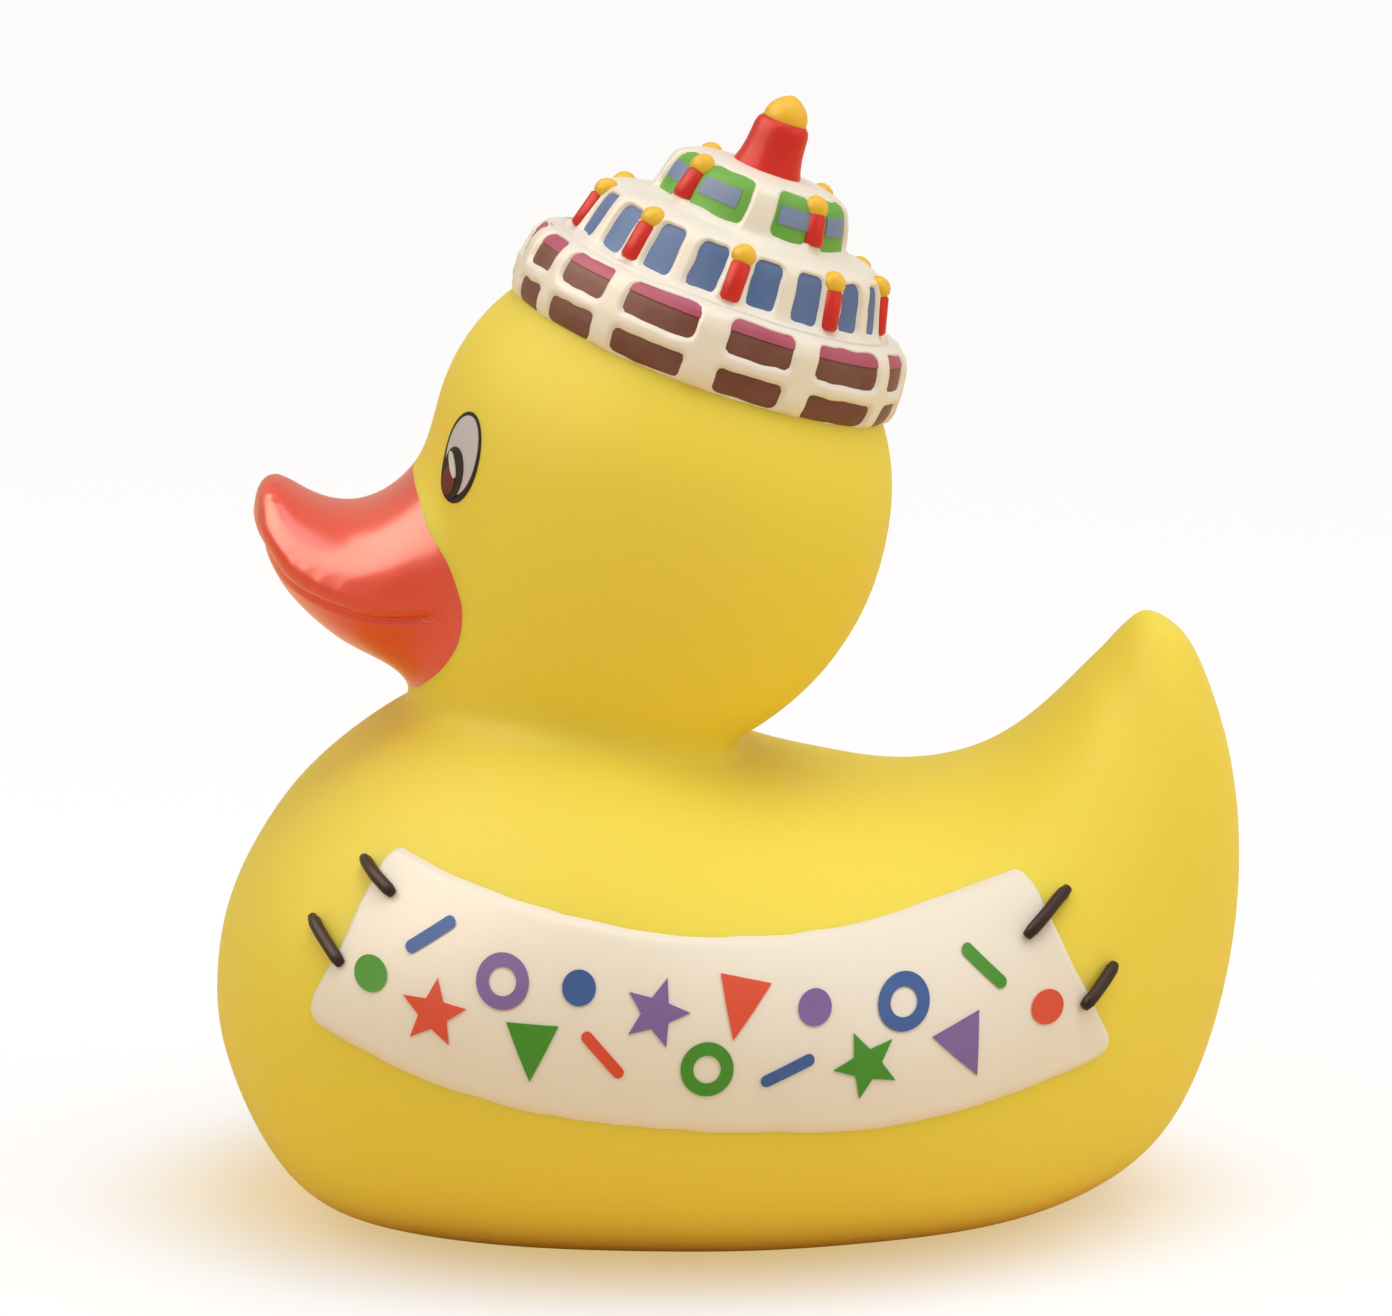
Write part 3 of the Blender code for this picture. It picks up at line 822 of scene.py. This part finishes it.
class DUCK_OT_cake(bpy.types.Operator):
    """Build the cake hat's icing and coloured panels"""
    bl_idname = "duck.cake"
    bl_label = "Cake hat"

    def execute(self, context):
        settings = context.scene.duck_cake_settings
        relief = settings.relief
        profile = dense_profile(0.28)
        bm = bmesh.new()
        spin_profile(bm, profile, 384)
        for vert in bm.verts:
            radius = math.hypot(vert.co.x, vert.co.y) / MM
            height = vert.co.z / MM
            if radius < 1.0:
                continue
            flat = Vector((vert.co.x, vert.co.y, 0.0)).normalized()
            angle = face_angle(vert.co)
            wave = noise.noise(vert.co * 210.0)
            wobble = 0.14 * noise.noise(vert.co * 620.0)
            rise = relief
            for panels, row in ALL_PANELS:
                if row[0] - 1.0 < height < row[1] + 1.0:
                    inside = panel_depth(angle, height, radius, panels, row, wobble)
                    rise -= (relief + PANEL_SINK * MM) * smooth_step(inside, -0.28, 0.22)
            on_side = smooth_step(height, -1.2, 0.2)
            tops = 1.0 if radius > side_radius(height) - 1.4 else 0.25
            vert.co += flat * (rise * on_side * tops)
            vert.co.z += 0.16 * MM * wave
            vert.co += flat * 0.10 * MM * noise.noise(vert.co * 330.0)
        bmesh.ops.transform(bm, matrix=hat_frame(), verts=bm.verts)
        icing = tuple(settings.icing)
        cake = new_piece("cake_icing", bm, painted("icing_white", icing, lighter(icing, -0.06),
                                                   rough=(0.36, 0.46), drift=0.6, scale=120.0,
                                                   grain=1500.0, bump=0.08, glow=0.12, specular=0.4))
        hand_over(cake)

        groups = (
            ("cake_bricks", "brick_brown", settings.brick, BRICKS, BRICK_ROWS, 0.0),
            # Painted highlight along the bricks' upper edge, a lit copy of the brick paint.
            ("cake_brick_highlights", "brick_highlight_paint", settings.brick_highlight, BRICKS, (BRICK_HIGHLIGHT_ROW,), 0.10),
            ("cake_blue_panels", "panel_blue", settings.blue, BLUES, (BLUE_ROW,), 0.0),
            ("cake_green_panels", "panel_green", settings.green, GREENS, (GREEN_ROW,), 0.0),
            ("cake_blue_bars", "panel_slate", lighter(settings.blue, 0.10), BARS, (BAR_ROW,), 0.10),
        )
        for name, finish, colour, panels, rows, lift in groups:
            bm = bmesh.new()
            for row in rows:
                for middle, width in panels:
                    panel_patch(bm, profile, middle, width, row, lift)
            bmesh.ops.transform(bm, matrix=hat_frame(), verts=bm.verts)
            colour = tuple(colour)
            hand_over(new_piece(name, bm, painted(finish, colour, lighter(colour, 0.12), rough=(0.36, 0.5),
                                                  drift=0.7, scale=240.0, bump=0.05), 40.0))
        return {"FINISHED"}


def rod(bm, start, end, radii, sides=20):
    """Rod of varying radius between two points, radii given as share along and radius."""
    axis = (end - start).normalized()
    turn = axis.to_track_quat("Z", "Y").to_matrix()
    rings = []
    for share, radius in radii:
        rings.append(round_loop(start.lerp(end, share), turn, radius, sides))
    part = bmesh.new()
    loft(part, rings)
    add_mesh(bm, part)


class DUCK_OT_candles(bpy.types.Operator):
    """Build the candles and their flames"""
    bl_idname = "duck.candles"
    bl_label = "Candles"

    def execute(self, context):
        settings = context.scene.duck_cake_settings
        place = hat_frame()
        sticks, flames = bmesh.new(), bmesh.new()
        for radius, foot, top, count, first in (MID_CANDLES, TOP_CANDLES):
            for i in range(count):
                angle = 2.0 * math.pi * (i + first) / count
                out = Vector((-math.cos(angle), -math.sin(angle), 0.0))
                low = place @ ((out * radius + Vector((0.0, 0.0, foot))) * MM)
                high = place @ ((out * (radius - CANDLE_LEAN) + Vector((0.0, 0.0, top))) * MM)
                tip = place @ ((out * (radius - FLAME_LEAN) + Vector((0.0, 0.0, top + FLAME_TALL))) * MM)
                rod(sticks, low, high, STICK)
                rod(flames, high, tip, FLAME)
        axis = Vector((0.0, 0.0, MM))
        rod(sticks, place @ (axis * POST_FOOT), place @ (axis * POST_TOP), POST, 40)
        rod(flames, place @ (axis * POST_FLAME_FOOT), place @ (axis * POST_FLAME_TOP), POST_FLAME, 40)
        red, flame = tuple(settings.candle), tuple(settings.flame)
        hand_over(new_piece("candle_sticks", sticks, painted(
            "candle_red", red, lighter(red, -0.2), rough=(0.26, 0.36), scale=300.0, bump=0.04, glow=0.1)))
        hand_over(new_piece("candle_flames", flames, painted(
            "flame_yellow", flame, (0.80, 0.55, 0.06), rough=(0.28, 0.38), scale=400.0, drift=0.9,
            bump=0.04, glow=0.1)))
        return {"FINISHED"}


# ---------------------------------------------------------------- banners

def arc(radius, first, last, count, shift=0.0):
    """Evenly spaced points of an arc, with both its ends."""
    angles = np.linspace(first, last, count)
    return [(shift + radius * math.cos(angle), radius * math.sin(angle)) for angle in angles]


def motif_outline(kind, size):
    """Corner points of a flat party shape."""
    if kind == "disc":
        return arc(size, 0.0, 2.0 * math.pi, 33)[:-1]
    if kind == "star":
        reach = [size if i % 2 == 0 else size * 0.45 for i in range(10)]
        angles = [math.radians(90 + 36 * i) for i in range(10)]
        return [(r * math.cos(angle), r * math.sin(angle)) for r, angle in zip(reach, angles)]
    if kind == "flag":
        upper = [(size * share, size * 0.75) for share in (-0.8, -0.4, 0.0, 0.4, 0.8)]
        return upper + [(size * 0.4, -size * 0.15), (0.0, -size), (-size * 0.4, -size * 0.15)]
    half, thick, quarter = size * 0.75, 0.48, math.pi / 2.0
    return arc(thick, -quarter, quarter, 9, half) + arc(thick, quarter, 3.0 * quarter, 9, -half)


def add_motif(bm, tree, side, kind, along, across, size, turn):
    """One flat party shape laid on the banner and thickened into it."""
    spot, ahead = (curve_at(BANNER_LOW, t).lerp(curve_at(BANNER_TOP, t), across) for t in (along, along + 0.02))
    slope = math.atan2(ahead[1] - spot[1], ahead[0] - spot[0])
    part = bmesh.new()
    if kind == "ring":
        bmesh.ops.create_circle(part, segments=36, radius=size)
        bmesh.ops.create_circle(part, segments=36, radius=size * 0.52)
        bmesh.ops.bridge_loops(part, edges=part.edges[:])
    else:
        points = motif_outline(kind, size)
        bmesh.ops.create_circle(part, segments=len(points), radius=1.0, cap_ends=True)
        part.verts.ensure_lookup_table()
        for vert, (a, b) in zip(part.verts, points):
            vert.co = Vector((a, b, 0.0))
        if kind == "disc":
            bmesh.ops.inset_region(part, faces=part.faces[:], thickness=size * 0.5, use_even_offset=True)
        else:
            bmesh.ops.triangulate(part, faces=part.faces[:])
            bmesh.ops.subdivide_edges(part, edges=part.edges[:], cuts=2, use_grid_fill=True)
    spin = Matrix.Rotation(slope + math.radians(turn), 2)
    placed = []
    for vert in part.verts:
        flat = spin @ Vector((vert.co.x, vert.co.y))
        point, normal = flank(tree, spot[0] + flat[0], spot[1] + flat[1], side)
        placed.append((vert, point + normal * MOTIF_RISE * MM))
    for vert, point in placed:
        vert.co = point
    thicken(part, lambda co: co - Vector((0.0, side * MOTIF_THICK, 0.0)) * MM)
    add_mesh(bm, part)


class DUCK_OT_banners(bpy.types.Operator):
    """Build the banners, their stitches and party shapes"""
    bl_idname = "duck.banners"
    bl_label = "Banners"

    def execute(self, context):
        settings = context.scene.duck_banner_settings
        skin = surface_of(bpy.data.objects["duck_skin"])
        cloth = tuple(settings.cloth)
        banner_paint = painted("banner_white", cloth, lighter(cloth, -0.05), rough=(0.40, 0.5), drift=0.6,
                               scale=90.0, grain=1600.0, bump=0.05, glow=0.1, specular=0.35)
        thread_paint = painted("stitch_thread", tuple(settings.thread), (0.06, 0.032, 0.024),
                               rough=(0.35, 0.5), scale=500.0, bump=0.1)
        hues = {name: tuple(getattr(settings, name)) for name in ("blue", "green", "red", "purple")}
        for side, label in ((-1.0, "left"), (1.0, "right")):
            bm = bmesh.new()
            bmesh.ops.create_grid(bm, x_segments=180, y_segments=56, size=0.5)
            length = (Vector(BANNER_TOP[-1]) - Vector(BANNER_TOP[0])).length + 8.0
            placed = []
            for vert in bm.verts:
                t, v = vert.co.x + 0.5, vert.co.y + 0.5
                low, top = curve_at(BANNER_LOW, t), curve_at(BANNER_TOP, t)
                spot = low.lerp(top, v)
                ends, tall = min(t, 1.0 - t) * length, min(v, 1.0 - v) * (top - low).length
                dx, dz = BANNER_CORNER - ends, BANNER_CORNER - tall
                edge = BANNER_CORNER - math.hypot(dx, dz) if dx > 0.0 and dz > 0.0 else min(ends, tall)
                edge += 0.16 * noise.noise(Vector((spot[0], side * 3.0, spot[1])) * 0.35)
                rise = settings.rise * math.sqrt(smooth_step(edge, 0.0, 1.1)) - 0.35 * MM
                rise += 0.05 * MM * noise.noise(Vector((spot[0], side * 3.0, spot[1])) * 0.22)
                point, normal = flank(skin, spot[0], spot[1], side)
                placed.append((vert, point + normal * rise))
            for vert, point in placed:
                vert.co = point
            thicken(bm, lambda co: co - Vector((0.0, side * BANNER_THICK, 0.0)) * MM)
            banner = new_piece(f"banner_{label}", bm, banner_paint, 60.0)
            hand_over(banner)
            face = surface_of(banner)
            for hue, colour in hues.items():
                marks = bmesh.new()
                for kind, tone, along, across, size, turn in MOTIFS:
                    if tone == hue:
                        add_motif(marks, face, side, kind, along, across, size, turn)
                paint = painted(f"party_{hue}", colour, lighter(colour, 0.08), rough=(0.36, 0.48),
                                scale=200.0, bump=0.04)
                hand_over(new_piece(f"banner_{label}_{hue}_shapes", marks, paint, 40.0))
            threads = bmesh.new()
            for x0, z0, x1, z1 in STITCHES:
                points = []
                for i in range(STITCH_STEPS + 1):
                    share = i / STITCH_STEPS
                    x, z = x0 + (x1 - x0) * share, z0 + (z1 - z0) * share
                    under, normal = flank(skin, x, z, side)
                    over = face.ray_cast(Vector((x * MM, side * 0.1, z * MM)), Vector((0.0, -side, 0.0)))[0]
                    point = over if over is not None and abs(over.y) > abs(under.y) else under
                    lift = STITCH_RISE * (1.0 + math.sin(math.pi * share))
                    points.append(point + normal * lift * MM)
                for _ in range(2):
                    points = ([points[0]] + [(a + b * 2.0 + c) / 4.0 for a, b, c in
                              zip(points, points[1:], points[2:])] + [points[-1]])
                rings = []
                for i, point in enumerate(points):
                    ahead = points[min(i + 1, STITCH_STEPS)] - points[max(i - 1, 0)]
                    turn = ahead.to_track_quat("Z", "Y").to_matrix()
                    radius = STITCH_RADIUS if 0 < i < STITCH_STEPS else STITCH_END_RADIUS
                    rings.append(round_loop(point, turn, radius, 16))
                part = bmesh.new()
                loft(part, rings)
                add_mesh(threads, part)
            hand_over(new_piece(f"stitches_{label}", threads, thread_paint))
        return {"FINISHED"}


# ---------------------------------------------------------------- stage

# Broad suns: name, direction of its light's source, strength, and spread in degrees.
SUNS = (("key_sun", (0.35, 0.0, 1.4), 1.05, 50.0), ("side_sun", (1.2, -0.25, 0.6), 0.55, 50.0))
# Soft boxes: name, place, size, power, and whether it only shows in the gloss.
WINDOWS = (("window_left", (-0.26, -0.13, 0.34), 0.36, 0.30, False),
           ("window_top", (0.05, -0.05, 0.42), 0.24, 0.15, False),
           ("window_gloss", (-0.23, -0.06, 0.35), 0.50, 3.4, True))
LIGHT_TARGET = Vector((0.0, 0.0, 0.05))
CAMERA_TARGET = Vector((-2.9, 0.0, 48.7)) * MM
SENSOR = 36.0
FLOOR_DROP = 0.02 * MM


def add_lamp(scene, name, kind, energy, back):
    """Light whose back points along the given direction."""
    data = bpy.data.lights.new(name, kind)
    data.energy = energy
    lamp = bpy.data.objects.new(name, data)
    scene.collection.objects.link(lamp)
    lamp.rotation_euler = back.to_track_quat("Z", "Y").to_euler()
    return lamp


def paper(settings):
    """White table paper that glows a little: warm close to the duck, cool farther away."""
    material = bpy.data.materials.new("studio_paper")
    material.use_nodes = True
    nodes, link = material.node_tree.nodes, material.node_tree.links.new
    white = nodes["Principled BSDF"]
    fill(white, {"Base Color": (*settings.paper, 1.0), "Roughness": 0.9, "Specular IOR Level": 0.0,
                 "Emission Strength": 1.0})
    where = nodes.new("ShaderNodeTexCoord")
    squeeze = nodes.new("ShaderNodeMapping")
    fill(squeeze, {"Location": (0.003, 0.0, 0.0), "Scale": (0.66, 1.0, 1.0)})
    span = nodes.new("ShaderNodeVectorMath")
    span.operation = "LENGTH"
    fade = nodes.new("ShaderNodeMapRange")
    fade.interpolation_type = "SMOOTHSTEP"
    fill(fade, {"From Min": settings.pool_inner, "From Max": settings.pool_outer})
    # Painted light: the warm glow near the duck stands in for its yellow bounce light and lightens its shadow,
    # fading to an even cool glow farther away.
    glow = nodes.new("ShaderNodeMix")
    glow.data_type = "RGBA"
    fill(glow, {"A": (*settings.pool, 1.0), "B": (*settings.far_glow, 1.0)})
    link(where.outputs["Object"], squeeze.inputs["Vector"])
    link(squeeze.outputs["Vector"], span.inputs[0])
    link(span.outputs["Value"], fade.inputs["Value"])
    link(fade.outputs["Result"], glow.inputs["Factor"])
    link(glow.outputs["Result"], white.inputs["Emission Color"])
    warm = nodes.new("ShaderNodeBsdfDiffuse")
    warm.inputs["Color"].default_value = (*settings.bounce, 1.0)
    ray = nodes.new("ShaderNodeLightPath")
    choice = nodes.new("ShaderNodeMixShader")
    link(ray.outputs["Is Camera Ray"], choice.inputs["Fac"])
    link(warm.outputs["BSDF"], choice.inputs[1])
    link(white.outputs["BSDF"], choice.inputs[2])
    link(choice.outputs["Shader"], nodes["Material Output"].inputs["Surface"])
    return material


class DUCK_OT_stage(bpy.types.Operator):
    """Set the floor, the soft light and the camera"""
    bl_idname = "duck.stage"
    bl_label = "Stage"

    def execute(self, context):
        settings = context.scene.duck_stage_settings
        scene = context.scene
        scene.view_settings.view_transform = "Standard"
        bm = bmesh.new()
        bmesh.ops.create_grid(bm, x_segments=1, y_segments=1, size=8.0)
        floor = new_piece("studio_floor", bm)
        floor.data.materials.append(paper(settings))
        floor.location.z = -FLOOR_DROP

        world = bpy.data.worlds.new("studio")
        world.use_nodes = True
        sky = world.node_tree.nodes["Background"].inputs
        sky["Color"].default_value = (*settings.air, 1.0)
        sky["Strength"].default_value = settings.air_strength
        scene.world = world

        for name, source, strength, spread in SUNS:
            lamp = add_lamp(scene, name, "SUN", strength, Vector(source))
            lamp.data.angle = math.radians(spread)
        for name, place, size, strength, gloss_only in WINDOWS:
            lamp = add_lamp(scene, name, "AREA", strength, Vector(place) - LIGHT_TARGET)
            lamp.location = place
            lamp.data.shape = "RECTANGLE"
            lamp.data.size, lamp.data.size_y = size, size * 0.8
            if gloss_only:
                lamp.data.color = settings.gloss
                lamp.visible_diffuse = False

        data = bpy.data.cameras.new("camera")
        data.lens = settings.lens
        data.sensor_width = SENSOR
        data.clip_start, data.clip_end = 0.01, 50.0
        camera = bpy.data.objects.new("camera", data)
        scene.collection.objects.link(camera)
        distance = settings.span * settings.lens / SENSOR
        back = Vector((0.0, -math.cos(settings.elevation), math.sin(settings.elevation)))
        camera.location = CAMERA_TARGET + back * distance
        camera.rotation_euler = back.to_track_quat("Z", "Y").to_euler()
        scene.camera = camera
        return {"FINISHED"}


class DUCK_PT_panel(bpy.types.Panel):
    """Sidebar panel with the duck's steps"""
    bl_idname = "DUCK_PT_panel"
    bl_label = "Cake hat duck"
    bl_space_type = "VIEW_3D"
    bl_region_type = "UI"
    bl_category = "Duck"

    def draw(self, context):
        for step in STEPS:
            self.layout.operator(step.bl_idname)
        for name in GROUPS:
            group = getattr(context.scene, name)
            box = self.layout.box()
            for key in group.__annotations__:
                box.prop(group, key)


STEPS = (DUCK_OT_skin, DUCK_OT_eyes, DUCK_OT_cake, DUCK_OT_candles, DUCK_OT_banners, DUCK_OT_stage)
GROUPS = {
    "duck_skin_settings": DuckSkinSettings, "duck_eye_settings": DuckEyeSettings,
    "duck_cake_settings": DuckCakeSettings, "duck_banner_settings": DuckBannerSettings,
    "duck_stage_settings": DuckStageSettings,
}


def register():
    for item in (*GROUPS.values(), *STEPS, DUCK_PT_panel):
        bpy.utils.register_class(item)
    for name, kind in GROUPS.items():
        setattr(bpy.types.Scene, name, bpy.props.PointerProperty(type=kind))


def unregister():
    for name in GROUPS:
        delattr(bpy.types.Scene, name)
    for item in (DUCK_PT_panel, *reversed(STEPS), *reversed(list(GROUPS.values()))):
        bpy.utils.unregister_class(item)


def main():
    register()
    for step in STEPS:
        group, name = step.bl_idname.split(".")
        getattr(getattr(bpy.ops, group), name)()


if __name__ == "__main__":
    main()
